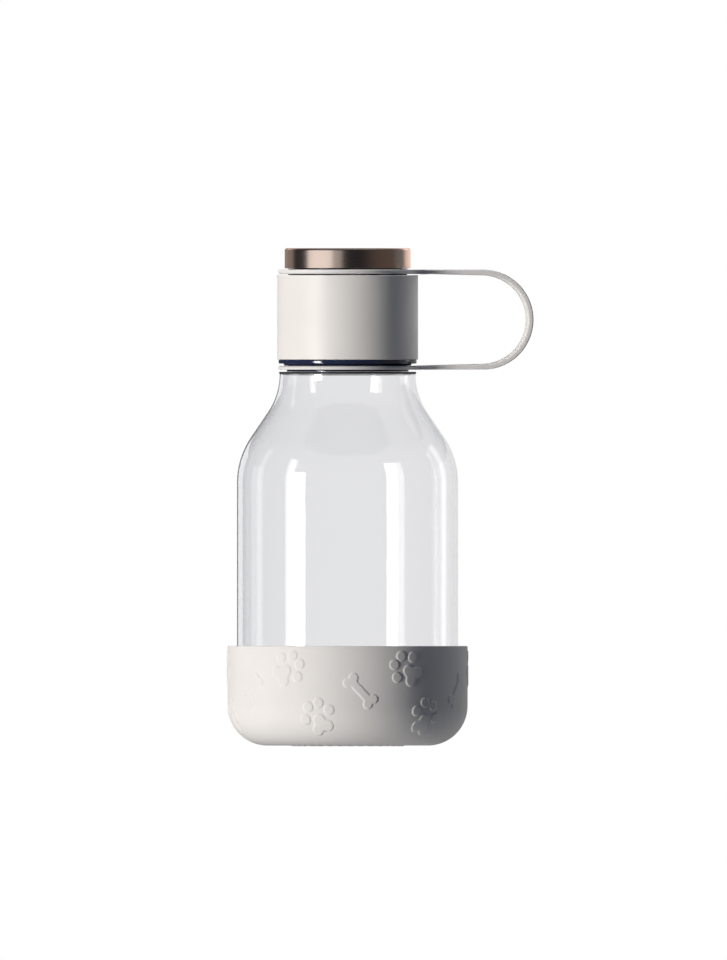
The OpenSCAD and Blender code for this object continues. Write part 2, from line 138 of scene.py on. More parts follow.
BOSS_R = BOSS_GROOVE_R + BOSS_LIP
CAP_R = BOSS_R + CAP_PROUD
INSERT_R = CAP_R - METAL_T - PRESS_GAP
GRIP_RING_R = BOWL_IN_R - GRIP_GAP - GRIP_R
GRIP_ZS = (FOOT_Z + GRIP_Z, FOOT_Z + GRIP_Z + GRIP_PITCH)
print("bowl", round(BOWL_R, 2), "- sleeve", round(SLEEVE_R, 2), "- cap", round(CAP_R, 2))

# %% [markdown]
# ## A pen for turned pieces
# Nearly every piece is round, so it could be cut on a lathe. The same idea works here: a pen draws
# half of the cross-section, straight runs point by point and curves by swinging its tip about a
# centre, and `spin` then turns that section round the axis. The points on the axis and on the seam
# are merged before the normals are worked out, so each piece is one closed skin.

# %% The pen
COLUMNS = 256
MERGE = 0.002


def draw_run(mesh, tip, end, rows):
    """Draws a straight run from a point, cut into rows, and returns its last point."""
    start = tip.co.copy()
    for row in range(1, rows + 1):
        point = mesh.verts.new(start.lerp(end, row / rows))
        mesh.edges.new((tip, point))
        tip = point
    return tip


def draw_arc(mesh, tip, centre, axis, turn, rows):
    """Swings a point about a centre and returns the last point of the curve."""
    swung = bmesh.ops.spin(mesh, geom=[tip], cent=centre, axis=axis, angle=radians(turn),
                           steps=rows, use_merge=False)
    return next(p for p in swung["geom_last"] if isinstance(p, bmesh.types.BMVert))


def turn_round(mesh, columns):
    """Turns what is drawn once round the axis, into one closed skin."""
    bmesh.ops.spin(mesh, geom=mesh.verts[:] + mesh.edges[:], cent=(0, 0, 0), axis=(0, 0, 1),
                   angle=2 * pi, steps=columns, use_merge=True)
    bmesh.ops.remove_doubles(mesh, verts=mesh.verts[:], dist=MERGE * MM)
    bmesh.ops.recalc_face_normals(mesh, faces=mesh.faces[:])
    return mesh


class Section:
    """Half of a cross-section in the plane y = 0, drawn in millimetres."""

    def __init__(self, r, z):
        self.mesh = bmesh.new()
        self.first = self.tip = self.mesh.verts.new((r * MM, 0, z * MM))

    def to(self, r, z, rows=1):
        """Draws a straight run, cut into rows."""
        self.tip = draw_run(self.mesh, self.tip, Vector((r * MM, 0, z * MM)), rows)
        return self

    def arc(self, r, z, turn, rows):
        """Swings the tip about a centre; a positive turn goes from +X up to +Z."""
        centre = (r * MM, 0, z * MM)
        self.tip = draw_arc(self.mesh, self.tip, centre, (0, -1, 0), turn, rows)
        return self

    def close(self):
        """Joins the last point to the first."""
        self.mesh.edges.new((self.tip, self.first))
        return self

    def turn(self, columns=COLUMNS):
        """Turns the section once round the axis."""
        return turn_round(self.mesh, columns)


def ring(r_in, r_out, z, height):
    """The section of a flat ring."""
    return Section(r_in, z).to(r_out, z).to(r_out, z + height).to(r_in, z + height).close()


print("turned pieces get", COLUMNS, "columns")

# %% [markdown]
# ## Soft edges
# No moulded or pressed edge is perfectly sharp, and the thin line of light along it is what makes
# it look real. A bevel along every edge where the skin turns sharply gives that line. The bevel's
# width is the rounding that such a piece has, from a tenth to half a millimetre.

# %% Edges and objects
def ease(mesh, size, segments=2, least=38, where=None):
    """Rounds the edges where the skin turns by more than `least` degrees."""
    sharp = [e for e in mesh.edges
             if len(e.link_faces) == 2 and e.calc_face_angle() > radians(least)
             and (where is None or where(sum((v.co for v in e.verts), Vector()) / (2 * MM)))]
    bmesh.ops.bevel(mesh, geom=sharp, offset=size * MM, offset_type="OFFSET", affect="EDGES",
                    segments=segments, profile=0.5, material=-1, clamp_overlap=True)
    return mesh


def piece(name, mesh, body, node, finish):
    """Makes an object of the mesh; it rides on a body and stands for a node of the frame."""
    data = bpy.data.meshes.new(name)
    mesh.to_mesh(data)
    mesh.free()
    data.shade_smooth()
    data.materials.append(finish)
    made = bpy.data.objects.new(name, data)
    bpy.context.scene.collection.objects.link(made)
    weighted = made.modifiers.new("even_shading", "WEIGHTED_NORMAL")
    weighted.weight = 60
    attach(made, body)
    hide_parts(node)
    data.calc_loop_triangles()
    print(name, len(data.loop_triangles), "triangles on", body)
    return made


def radius_and_bearing(point):
    """Distance from the axis in millimetres, and bearing in degrees."""
    return hypot(point.x, point.y) / MM, degrees(atan2(point.y, point.x))


print("helpers for edges and pieces are ready")

# %% [markdown]
# ## Screw threads
# A thread is a ridge that climbs as it goes round. It could be swept along a helix and joined to
# its wall, but then two skins cross. Here the wall itself is cut into fine rows, and every point
# of it is pushed out where the ridge passes, so neck and thread stay one skin. Ridges fade in and
# out at their ends, as a moulded thread does. The nut's ridges lie a little lower than the bolt's,
# because they bear on them from below, and so do its finely cut rows.

# %% Threads
RIDGE_START, RIDGE_FADE, RIDGE_STUB = 4, 30, 10
RIDGE_HALF, RIDGE_FLANK = 0.8, 0.4
NUT_DROP, ON_WALL = 1.15, 0.02


def thread(starts, lead, sweep, top):
    """A thread whose ridges climb over `sweep` degrees and end at the height `top`."""
    return dict(starts=starts, lead=lead, sweep=sweep, z_start=top - lead * sweep / 360)


def push_thread(mesh, wall_r, side, starts, lead, sweep, z_start):
    """Pushes a wall's points out (side 1) or in (side -1) along ridges round it."""
    for v in mesh.verts:
        r, bearing = radius_and_bearing(v.co)
        if abs(r - wall_r) > ON_WALL:
            continue
        for start in range(starts):
            turned = (bearing - RIDGE_START - 360 * start / starts) % 360
            if turned > sweep:
                continue
            ends = (turned + RIDGE_STUB) / RIDGE_FADE, (sweep - turned + RIDGE_STUB) / RIDGE_FADE
            off = abs(v.co.z / MM - z_start - lead * turned / 360)
            height = RIDGE_H * min(1, *ends) * min(1, max(0, (RIDGE_HALF - off) / RIDGE_FLANK))
            if height > 0:
                grown = (r + side * height) / r
                v.co.x, v.co.y = v.co.x * grown, v.co.y * grown
                break
    return mesh


def push_nut(mesh, wall_r, bolt):
    """Pushes the ridges of the nut that fits a bolt's thread into a wall."""
    return push_thread(mesh, wall_r, -1, **dict(bolt, z_start=bolt["z_start"] - NUT_DROP))


LID_THREAD = thread(3, 12, 220, NECK_TOP_Z - 2.5)
CAP_THREAD = thread(2, 6, 270, SPOUT_TOP_Z - 1.8)
LID_ROWS, LID_CUT_Z = 28, (NECK_TOP_Z - 11.1, NECK_TOP_Z - 1.3)
CAP_ROWS, CAP_CUT_Z = 20, (SPOUT_TOP_Z - 7.3, SPOUT_TOP_Z - 0.8)
LID_NUT_LOWER, CAP_NUT_LOWER = 1, 1.1
print("lid threads start at", round(LID_THREAD["z_start"], 2),
      "and cap threads at", round(CAP_THREAD["z_start"], 2))

# %% [markdown]
# ## Shader maths
# A finish is a small sum: a colour, a little noise, a mask along an edge. Wiring nodes one by one
# hides that, so a class wraps a node's output and lets Python's own signs build the Math nodes.

# %% Wires
class Wire:
    """A node's output that Python's signs can add, subtract, multiply or raise to a power."""

    def __init__(self, board, socket):
        self.board, self.socket = board, socket

    def maths(self, operation, *values):
        return self.board.node("Math", dict(operation=operation), dict(enumerate(values)))

    def __add__(self, other):
        return self.maths("ADD", self, other)

    def __sub__(self, other):
        return self.maths("SUBTRACT", self, other)

    def __rsub__(self, other):
        return self.maths("SUBTRACT", other, self)

    def __mul__(self, other):
        return self.maths("MULTIPLY", self, other)

    def __pow__(self, other):
        return self.maths("POWER", self, other)

    __radd__, __rmul__ = __add__, __mul__


class Board:
    """The node tree of a material or of the world."""

    def __init__(self, owner):
        owner.use_nodes = True
        self.tree = owner.node_tree
        self.tree.nodes.clear()

    def node(self, kind, settings=None, inputs=None, output=0):
        """Adds a node of any kind: its settings first, then the values or wires of its sockets."""
        made = self.tree.nodes.new("ShaderNode" + kind)
        for key, value in (settings or {}).items():
            setattr(made, key, value)
        for key, value in (inputs or {}).items():
            if isinstance(value, Wire):
                self.tree.links.new(value.socket, made.inputs[key])
            else:
                made.inputs[key].default_value = value
        return Wire(self, made.outputs[output]) if made.outputs else made

    def place(self):
        """The point's place on the object, in metres."""
        return self.node("TexCoord", output="Object")

    def axis(self, vector, name):
        """One axis of a vector."""
        return self.node("SeparateXYZ", inputs={"Vector": vector}, output=name)

    def ray(self, kind):
        """1 for rays of this kind, and 0 for the others."""
        return self.node("LightPath", output=f"Is {kind} Ray")

    def noise(self, size, detail=2.0):
        """Smooth noise from 0 to 1 whose patches are about `size` millimetres wide."""
        return self.node("TexNoise", inputs={"Vector": self.place(), "Scale": 1 / (size * MM),
                                             "Detail": detail})

    def ramp(self, value, low, high):
        """0 below `low`, 1 above `high`, and smooth between them."""
        return self.node("MapRange", dict(interpolation_type="SMOOTHSTEP"),
                         {"Value": value, "From Min": low, "From Max": high})

    def mix(self, share, a, b):
        """Colour a, going over to colour b."""
        return self.node("Mix", dict(data_type="RGBA"), {0: share, 6: a, 7: b}, output=2)

    def bump(self, height, depth, strength=1.0):
        """Raises the surface by `depth` millimetres where `height` is 1."""
        return self.node("Bump", output="Normal", inputs={
            "Height": height, "Distance": depth * MM, "Strength": strength})


def tone(r, g, b):
    return (r, g, b, 1.0)


print("wires are ready")

# %% [markdown]
# ## Moulded plastic and silicone
# The sleeve, the strap and the bowl are close in colour, but they differ in touch. The sleeve is a
# hard plastic from a finely etched mould, so it keeps a satin shine. The strap and the bowl are
# silicone: duller, with a powdery grain, and a faint unevenness where hands have polished it.
# One recipe makes all of them, from a grain, a wider mottle and two tones.

# %% Moulded finishes
def moulded(name, light, dark, rough, grain, depth, swing=0.08):
    """A moulded surface: a fine grain over a wide, faint mottle."""
    material = bpy.data.materials.new(name)
    board = Board(material)
    cloud = board.noise(14, 3.0)
    speck = board.noise(grain)
    skin = board.node("BsdfPrincipled", inputs={
        "Base Color": board.mix(board.ramp(cloud, 0.3, 0.7), light, dark),
        "Roughness": rough + (cloud - 0.5) * swing + (speck - 0.5) * (0.5 * swing),
        "Normal": board.bump(speck, depth), "IOR": 1.46})
    board.node("OutputMaterial", inputs={"Surface": skin})
    print(name, "with a grain of", grain, "mm")
    return material


sleeve_plastic = moulded("sleeve_plastic", tone(0.83, 0.805, 0.77), tone(0.815, 0.79, 0.755),
                         0.42, grain=0.22, depth=0.004, swing=0.06)
bowl_silicone = moulded("bowl_silicone", tone(0.81, 0.789, 0.762), tone(0.79, 0.769, 0.742),
                        0.68, grain=0.16, depth=0.008, swing=0.1)
strap_silicone = moulded("strap_silicone", tone(0.77, 0.755, 0.735), tone(0.755, 0.74, 0.72),
                         0.48, grain=0.35, depth=0.001, swing=0.06)
pad_rubber = moulded("pad_rubber", tone(0.7, 0.69, 0.675), tone(0.66, 0.65, 0.64),
                     0.6, grain=0.2, depth=0.01)
seal_rubber = moulded("seal_rubber", tone(0.012, 0.013, 0.016), tone(0.018, 0.019, 0.022),
                      0.6, grain=0.2, depth=0.008)
lid_plastic = moulded("lid_plastic", tone(0.016, 0.022, 0.055), tone(0.02, 0.027, 0.062),
                      0.09, grain=0.6, depth=0.0008, swing=0.04)

# %% [markdown]
# ## Clear plastic
# The bottle is a tough clear plastic. It lets light through, bends it at both faces of its wall
# and takes a little of it on the way, which is why its edges look darker and bluer than its
# middle: there the eye looks along the wall. A volume that absorbs light does just that. Its face
# has only the very faint waves that blow moulding leaves. A ray tracer treats such a wall as solid
# when it asks whether a lamp reaches a point behind it, and the bowl would be black inside. So for
# those rays alone, the shadow rays, a plain see-through wall takes its place.

# %% Clear finishes
def clear(name, rough, tint, density, wave, depth):
    """A clear plastic or rubber with a wall that absorbs some light and lets lamps through."""
    material = bpy.data.materials.new(name)
    board = Board(material)
    waves = board.noise(wave, 1.0)
    skin = board.node("BsdfPrincipled", inputs={
        "Base Color": tone(1, 1, 1), "Roughness": rough + waves * 0.01, "IOR": 1.5,
        "Transmission Weight": 1.0, "Normal": board.bump(waves, depth, 0.4)})
    see_through = board.node("BsdfTransparent", inputs={"Color": tone(0.94, 0.94, 0.95)})
    wall = board.node("VolumeAbsorption", inputs={"Color": tint, "Density": density})
    surface = board.node("MixShader", inputs={0: board.ray("Shadow"), 1: skin, 2: see_through})
    board.node("OutputMaterial", inputs={"Surface": surface, "Volume": wall})
    print(name, "with waves", wave, "mm wide")
    return material


bottle_plastic = clear("bottle_plastic", 0.0, tone(0.5, 0.506, 0.542), density=96.0, wave=22,
                       depth=0.004)
ring_rubber = clear("ring_rubber", 0.16, tone(0.6, 0.62, 0.66), density=60.0, wave=3, depth=0.01)

# %% [markdown]
# ## Brushed bronze
# The cap is pressed from steel, brushed while it spins and tinted a dark bronze. The brush leaves
# lines that run round it, so its grain is noise that is squeezed hard along the axis on the side
# and along the radius on the top. The lines bend the light only a little, enough to spread it.

# %% Bronze
LINES_PER_METRE, LINES_ROUND = 9000, 3


def bronze(name):
    """Metal whose grain runs round the axis."""
    material = bpy.data.materials.new(name)
    board = Board(material)
    x, y, z = (board.axis(board.place(), axis) for axis in "XYZ")
    bearing = board.node("Math", dict(operation="ARCTAN2"), {0: y, 1: x})
    track = board.node("CombineXYZ", inputs={"X": (x * x + y * y) ** 0.5 * LINES_PER_METRE,
                                             "Y": bearing * LINES_ROUND,
                                             "Z": z * LINES_PER_METRE})
    lines = board.node("TexNoise", inputs={"Vector": track, "Scale": 1.0, "Detail": 3.0})
    cloud = board.noise(16)
    skin = board.node("BsdfPrincipled", inputs={
        "Base Color": board.mix(lines, tone(0.26, 0.212, 0.186), tone(0.3, 0.248, 0.22)),
        "Metallic": 1.0, "Roughness": 0.23 + (lines - 0.5) * 0.06 + (cloud - 0.5) * 0.04,
        "Specular Tint": tone(0.95, 0.76, 0.67), "Normal": board.bump(lines, 0.003, 0.6)})
    board.node("OutputMaterial", inputs={"Surface": skin})
    return material


cap_bronze = bronze("cap_bronze")
print("metal finish:", cap_bronze.name)

# %% [markdown]
# ## The bottle
# A blown bottle has one wall of even thickness. Its side runs down to a wide round foot, and its
# floor is pushed up in the middle so that it stands on a ring. The shoulder is one curve that
# bulges and one that hollows, joined by the line that touches both. Outside and inside are drawn
# as one section, because light only bends rightly in a wall that is a closed skin.

# %% Shoulder curves
SHOULDER_SWING, BULGE_SHARE = 1.592, 0.542
shoulder_w = BOTTLE_R - THROAT_R
lean = SHOULDER_SWING * degrees(atan(shoulder_w / SHOULDER_H))
lean_cos, lean_sin = cos(radians(lean)), sin(radians(lean))
curves = (SHOULDER_H * lean_sin - shoulder_w * lean_cos) / (1 - lean_cos)
BULGE_R, HOLLOW_R = BULGE_SHARE * curves, (1 - BULGE_SHARE) * curves
BULGE_X, HOLLOW_X = BOTTLE_R - BULGE_R, THROAT_R + HOLLOW_R
PUNT_CURVE_R = (PUNT_R ** 2 + PUNT_H ** 2) / (2 * PUNT_H)
PUNT_CURVE_Z = FOOT_Z + PUNT_H - PUNT_CURVE_R
print("shoulder leans", round(lean, 1), "degrees; curves", round(BULGE_R, 1), "and",
      round(HOLLOW_R, 1))

# %% The bottle's outside
GROOVE_R, GROOVE_HALF = GRIP_RING_R - GRIP_R - PRESS_GAP, GRIP_R + RUN_GAP
bottle = Section(0, FOOT_Z + PUNT_H)
bottle.arc(0, PUNT_CURVE_Z, -degrees(asin(PUNT_R / PUNT_CURVE_R)), 10)
bottle.to(BOTTLE_R - FOOT_R, FOOT_Z).arc(BOTTLE_R - FOOT_R, FOOT_Z + FOOT_R, 90, 20)
for z in GRIP_ZS:
    bottle.to(BOTTLE_R, z - GROOVE_HALF).to(GROOVE_R, z - GROOVE_HALF)
    bottle.to(GROOVE_R, z + GROOVE_HALF).to(BOTTLE_R, z + GROOVE_HALF)
bottle.to(BOTTLE_R, SHOULDER_Z, 3).arc(BULGE_X, SHOULDER_Z, lean, 24)
bottle.to(HOLLOW_X - HOLLOW_R * lean_cos, LEDGE_Z - HOLLOW_R * lean_sin, 3)
bottle.arc(HOLLOW_X, LEDGE_Z, -lean, 20).to(NECK_R, LEDGE_Z)
bottle.to(NECK_R, LID_CUT_Z[0]).to(NECK_R, LID_CUT_Z[1], LID_ROWS).to(NECK_R, NECK_TOP_Z)
print("points on the outside:", len(bottle.mesh.verts))

# %% The bottle's inside
LEDGE_WALL = 0.3
bulge_in_r, hollow_in_r = BULGE_R - BOTTLE_WALL, HOLLOW_R + BOTTLE_WALL
punt_in_r = PUNT_CURVE_R + BOTTLE_WALL
step_in = degrees(asin(LEDGE_WALL / hollow_in_r))
floor_lean = degrees(asin((BOTTLE_WALL + PUNT_CURVE_R - PUNT_H) / punt_in_r))
bottle.to(NECK_IN_R, NECK_TOP_Z).to(NECK_IN_R, LEDGE_Z - LEDGE_WALL)
bottle.to(HOLLOW_X - hollow_in_r * cos(radians(step_in)), LEDGE_Z - LEDGE_WALL)
bottle.arc(HOLLOW_X, LEDGE_Z, lean - step_in, 18)
bottle.to(BULGE_X + bulge_in_r * lean_cos, SHOULDER_Z + bulge_in_r * lean_sin, 3)
bottle.arc(BULGE_X, SHOULDER_Z, -lean, 24).to(BOTTLE_R - BOTTLE_WALL, FOOT_Z + FOOT_R, 4)
bottle.arc(BOTTLE_R - FOOT_R, FOOT_Z + FOOT_R, -90, 18)
bottle.to(punt_in_r * cos(radians(floor_lean)), FOOT_Z + BOTTLE_WALL)
bottle.arc(0, PUNT_CURVE_Z, 90 - floor_lean, 10)
bottle_mesh = ease(bottle.turn(), 0.15, where=lambda p: p.z < SHOULDER_Z)
ease(bottle_mesh, 0.12, least=60, where=lambda p: p.z > LEDGE_Z - 1)
push_thread(bottle_mesh, NECK_R, 1, **LID_THREAD)
bottle_shell = piece("bottle_shell", bottle_mesh, "bottle", "bottle_body",
                     bottle_plastic)

# %% [markdown]
# ## Grip rings and gaskets
# Two soft rings sit in grooves round the bottle and hold it in the bowl. Each is a small circle
# turned round the axis. The flat gaskets under the lid, at the bottle's mouth and in the cap are
# turned too, from a rectangle with eased corners.

# %% Grip rings
grip = bmesh.new()
for z in GRIP_ZS:
    circle = bmesh.ops.create_circle(grip, cap_ends=False, segments=20, radius=GRIP_R * MM)
    place = Matrix.Translation((GRIP_RING_R * MM, 0, z * MM)) @ Matrix.Rotation(pi / 2, 4, "X")
    bmesh.ops.transform(grip, matrix=place, verts=circle["verts"])
grip_pair = piece("grip_ring_pair", turn_round(grip, 192), "bottle", "grip_rings",
                  ring_rubber)

# %% Gaskets
MOUTH_LAP, CAP_LAP, NECK_SEAL_INSET, NECK_SEAL_SHOWN = 0.6, 1.5, 0.2, 0.9
seals = []
for name, body, node, r_in, r_out, z, height, soft in (
        ("neck_seal", "bottle", "neck_gasket", NECK_R + PRESS_GAP, FLANGE_R - NECK_SEAL_INSET,
         LEDGE_Z, NECK_SEAL_SHOWN, 0.3),
        ("mouth_seal", "mouth_seal", "mouth_gasket", NECK_IN_R - MOUTH_LAP, SKIRT_IN_R - RUN_GAP,
         NECK_TOP_Z + PRESS_GAP, MOUTH_SEAL_T - RUN_GAP, 0.25),
        ("cap_seal", "cap_seal", "cap_gasket", SPOUT_BORE_R - CAP_LAP, INSERT_IN_R - RUN_GAP,
         SPOUT_TOP_Z + PRESS_GAP, CAP_SEAL_T - RUN_GAP, 0.25)):
    seal = ease(ring(r_in, r_out, z, height).turn(), soft, 3)
    seals.append(piece(name, seal, body, node, seal_rubber))

# %% [markdown]
# ## The lid's core
# Most of the lid is one navy moulding that the sleeve hides: a skirt with the thread for the neck,
# a ceiling, the spout, and a low boss that the strap's upper ring turns on. What shows is its
# flange, a glossy band under the sleeve, slightly crowned so that it shines softly. It is drawn as
# one section from the skirt's foot round the outside, up over the deck, into the spout and back
# down inside.

# %% Lid core
CROWN_R, CROWN_HALF = 2.8, FLANGE_H / 2
SKIRT_LIP, SKIRT_LIP_HALF, PILOT_H, PLATE_T, STEP_SLOPE, BOSS_SLOPE = 0.6, 0.4, 3, 2, 0.5, 0.3
crown_turn = degrees(asin(CROWN_HALF / CROWN_R))
crown_foot_r = FLANGE_R - CROWN_R + CROWN_R * cos(radians(crown_turn))
lip_r = SKIRT_GROOVE_R + SKIRT_LIP
groove_z, hold_z = UPPER_RING_Z - PRESS_GAP, STRAP_TOP_Z + RUN_GAP

core = Section(SKIRT_IN_R, SKIRT_Z - SKIRT_LIP_HALF).to(lip_r, SKIRT_Z - SKIRT_LIP_HALF)
core.to(lip_r, SKIRT_Z + SKIRT_LIP_HALF).to(SKIRT_GROOVE_R, SKIRT_Z + SKIRT_LIP_HALF)
core.to(SKIRT_GROOVE_R, STEP_Z).to(STEP_R - STEP_SLOPE, STEP_Z).to(STEP_R, FLANGE_Z)
core.to(crown_foot_r, FLANGE_Z)
core.arc(FLANGE_R - CROWN_R, FLANGE_Z + CROWN_HALF, 2 * crown_turn, 8)
core.to(PILOT_R, SLEEVE_Z).to(PILOT_R, SLEEVE_Z + PILOT_H).to(SKIRT_R, SLEEVE_Z + PILOT_H)
core.to(SKIRT_R, CEILING_Z + PLATE_T).to(SPOUT_R, CEILING_Z + PLATE_T)
core.to(SPOUT_R, DECK_Z - PLATE_T).to(PILOT_R, DECK_Z - PLATE_T).to(PILOT_R, DECK_Z)
core.to(BOSS_R, DECK_Z).to(BOSS_R - BOSS_SLOPE, groove_z).to(BOSS_GROOVE_R, groove_z)
core.to(BOSS_GROOVE_R, hold_z).to(BOSS_R, hold_z).to(BOSS_R, BOSS_TOP_Z)
core.to(BOSS_IN_R, BOSS_TOP_Z).to(BOSS_IN_R, DECK_Z).to(SPOUT_R, DECK_Z)
core.to(SPOUT_R, CAP_CUT_Z[0]).to(SPOUT_R, CAP_CUT_Z[1], CAP_ROWS)
core.to(SPOUT_R, SPOUT_TOP_Z).to(SPOUT_BORE_R, SPOUT_TOP_Z).to(SPOUT_BORE_R, CEILING_Z)
core.to(SKIRT_IN_R, CEILING_Z).to(SKIRT_IN_R, LID_CUT_Z[1] - LID_NUT_LOWER)
core.to(SKIRT_IN_R, LID_CUT_Z[0] - LID_NUT_LOWER, LID_ROWS)
core_mesh = ease(core.close().turn(), 0.12)
push_nut(core_mesh, SKIRT_IN_R, LID_THREAD)
push_thread(core_mesh, SPOUT_R, 1, **CAP_THREAD)
lid_moulding = piece("lid_moulding", core_mesh, "lid", "lid_core", lid_plastic)

# %% [markdown]
# ## The sleeve
# A white sleeve stands on the flange and gives the lid its smooth side. It is a tube with an
# inward lip at the top that the strap's upper ring lies over. Its edges are eased very little,
# which keeps the crisp line against the strap.

# %% Sleeve
tube = Section(SLEEVE_IN_R, SLEEVE_Z).to(SLEEVE_R, SLEEVE_Z).to(SLEEVE_R, SLEEVE_TOP_Z)
tube.to(BOSS_R + PRESS_GAP, SLEEVE_TOP_Z).to(BOSS_R + PRESS_GAP, DECK_Z).to(SLEEVE_IN_R, DECK_Z)
lid_sleeve = piece("lid_sleeve", ease(tube.close().turn(), 0.25, 3), "lid", "collar_sleeve",
                   sleeve_plastic)

# %% [markdown]
# ## The cap
# The metal cap is a shallow cup of thin sheet with a tight round edge, pressed over a plastic
# insert that holds the thread and the gasket. Both are turned.

# %% Cap
CAP_ROUND, CAP_EDGE, INSERT_GAP, INSERT_RIM, INSERT_INSET = 1.1, 3, 0.5, 1.2, 0.3
cup = Section(0, INSERT_TOP_Z).to(CAP_R - METAL_T, INSERT_TOP_Z).to(CAP_R - METAL_T, CAP_Z)
cup.to(CAP_R, CAP_Z).to(CAP_R, CAP_TOP_Z - CAP_ROUND)
cup.arc(CAP_R - CAP_ROUND, CAP_TOP_Z - CAP_ROUND, 90, 8)
cup.to(CAP_R - CAP_EDGE, CAP_TOP_Z).to(0, CAP_TOP_Z, 4)
metal_cup = piece("metal_cup", ease(cup.turn(), 0.15), "cap", "metal_cap",
                  cap_bronze)

plug = Section(0, CAP_CEILING_Z).to(INSERT_IN_R, CAP_CEILING_Z)
plug.to(INSERT_IN_R, CAP_CUT_Z[1] - CAP_NUT_LOWER)
plug.to(INSERT_IN_R, CAP_CUT_Z[0] - CAP_NUT_LOWER, CAP_ROWS)
plug.to(INSERT_IN_R, DECK_Z + INSERT_GAP).to(INSERT_SKIRT_R, DECK_Z + INSERT_GAP)
plug.to(INSERT_SKIRT_R, CAP_CEILING_Z).to(INSERT_R - INSERT_RIM, CAP_CEILING_Z)
plug.to(INSERT_R - INSERT_RIM, CAP_Z + INSERT_INSET).to(INSERT_R, CAP_Z + INSERT_INSET)
plug.to(INSERT_R, INSERT_TOP_Z).to(0, INSERT_TOP_Z)
plug_mesh = push_nut(ease(plug.turn(), 0.15), INSERT_IN_R, CAP_THREAD)
cap_plug = piece("cap_plug", plug_mesh, "cap", "cap_insert", lid_plastic)

# %% [markdown]
# ## The strap
# The strap is one strip of silicone: a ring, an arm, a half circle, and the same back again. It
# could be cut out of solids, but a strip is easier to make as a flat sheet that gets its thickness
# later. Half of it is enough. The outline of one ring, with a fillet where the arm starts, is
# drawn from above and closed by a bridge across the arm.

# %% Strap outline
LOOP_W, LOOP_REACH, FILLET_R = 15, 29.3, 5
LOOP_R = (STRAP_TOP_Z - LOWER_RING_Z) / 2
LOOP_X, LOOP_Z = STRAP_RING_R + LOOP_REACH, LOWER_RING_Z + LOOP_R
NEAR = 0.01
bend_y = LOOP_W / 2 + FILLET_R
bend_x = sqrt((STRAP_RING_R + FILLET_R) ** 2 - bend_y ** 2)
bend_turn = degrees(atan2(bend_y, bend_x))

strip = bmesh.new()
tip = strip.verts.new((bend_x * MM, LOOP_W / 2 * MM, LOWER_RING_Z * MM))
for x, y, turn, rows in ((bend_x, bend_y, bend_turn - 90, 8), (0, 0, 360 - 2 * bend_turn, 108),
                         (bend_x, -bend_y, bend_turn - 90, 8)):
    tip = draw_arc(strip, tip, (x * MM, y * MM, 0), (0, 0, 1), turn, rows)
bmesh.ops.remove_doubles(strip, verts=strip.verts[:], dist=MERGE * MM)
arm_start = (bend_x - NEAR) * MM
bridge = strip.edges.new([v for v in strip.verts if v.co.x > arm_start])
bmesh.ops.subdivide_edges(strip, edges=[bridge], cuts=9)
print("strap outline:", len(strip.verts), "points; arm starts at", round(bend_x, 1))

# %% [markdown]
# The hole of the ring is a copy of the outline, pulled in to a circle. The arm is drawn out of the
# bridge row by row, and its end is spun through a quarter turn. A mirror makes the other half,
# whose hole is then made smaller, because the boss is narrower than the skirt.

# %% Strap sheet
LOWER_HOLE_R, UPPER_HOLE_R = SKIRT_GROOVE_R + STRAP_GAP, BOSS_GROOVE_R + STRAP_GAP
ARM_ROWS, QUARTER_ROWS = 8, 24


def points_of(made):
    """The points among what an operator made."""
    return [p for p in made["geom"] if isinstance(p, bmesh.types.BMVert)]


def pull_to_circle(points, r):
    """Moves points straight towards the axis or away from it, on to a circle."""
    for v in points:
        v.co.x, v.co.y = Vector((v.co.x, v.co.y)).normalized() * r * MM


rim = bmesh.ops.extrude_edge_only(strip, edges=strip.edges[:])
pull_to_circle(points_of(rim), LOWER_HOLE_R)
end = [e for e in strip.edges if all(v.co.x > arm_start for v in e.verts)]
for x in np.linspace(bend_x, LOOP_X, ARM_ROWS + 1)[1:]:
    drawn = bmesh.ops.extrude_edge_only(strip, edges=end)
    for v in points_of(drawn):
        v.co.x = x * MM
    end = [p for p in drawn["geom"] if isinstance(p, bmesh.types.BMEdge)]
bmesh.ops.spin(strip, geom=end + list({v for e in end for v in e.verts}), axis=(0, -1, 0),
               cent=(LOOP_X * MM, 0, LOOP_Z * MM), angle=pi / 2, steps=QUARTER_ROWS,
               use_merge=False)
to_middle = Matrix.Translation((0, 0, LOOP_Z * MM)).inverted()
bmesh.ops.mirror(strip, geom=strip.verts[:] + strip.edges[:] + strip.faces[:],
                 matrix=to_middle, axis="Z", merge_dist=NEAR * MM)
bmesh.ops.remove_doubles(strip, verts=strip.verts[:], dist=NEAR * MM)
bmesh.ops.recalc_face_normals(strip, faces=strip.faces[:])
pull_to_circle([v for v in strip.verts if v.co.z > LOOP_Z * MM
                and radius_and_bearing(v.co)[0] < LOWER_HOLE_R + NEAR], UPPER_HOLE_R)
print("strap sheet:", len(strip.faces), "faces, z", round(min(v.co.z for v in strip.verts) / MM, 2),
      "to", round(max(v.co.z for v in strip.verts) / MM, 2))

# %% [markdown]
# ## The strap's thickness
# The sheet is the strap's outer face. Drawing it out along its inward direction gives it a
# thickness that can change: thin at the rings, where it turns in a narrow groove, thicker round
# the loop, where a hand pulls on it, and crowned inside the bend. The rings' undersides hang a
# trifle lower, as soft rings do. Last, all its rims are rounded by a bevel whose width is weighted:
# full on the inner face, half of that on the outer one.

# %% Thick strap
LOOP_T, DOME, THICKENING = 2.6, 0.9, 0.7
LOWER_SEAT, UPPER_SEAT, SEAT_BAND, SEAT_FADE, RING_EDGE = 0.1, 0.4, 0.3, 12, 1
OUTER_ROUND, INNER_ROUND, RIM_ANGLE = 0.6, 1.2, 60


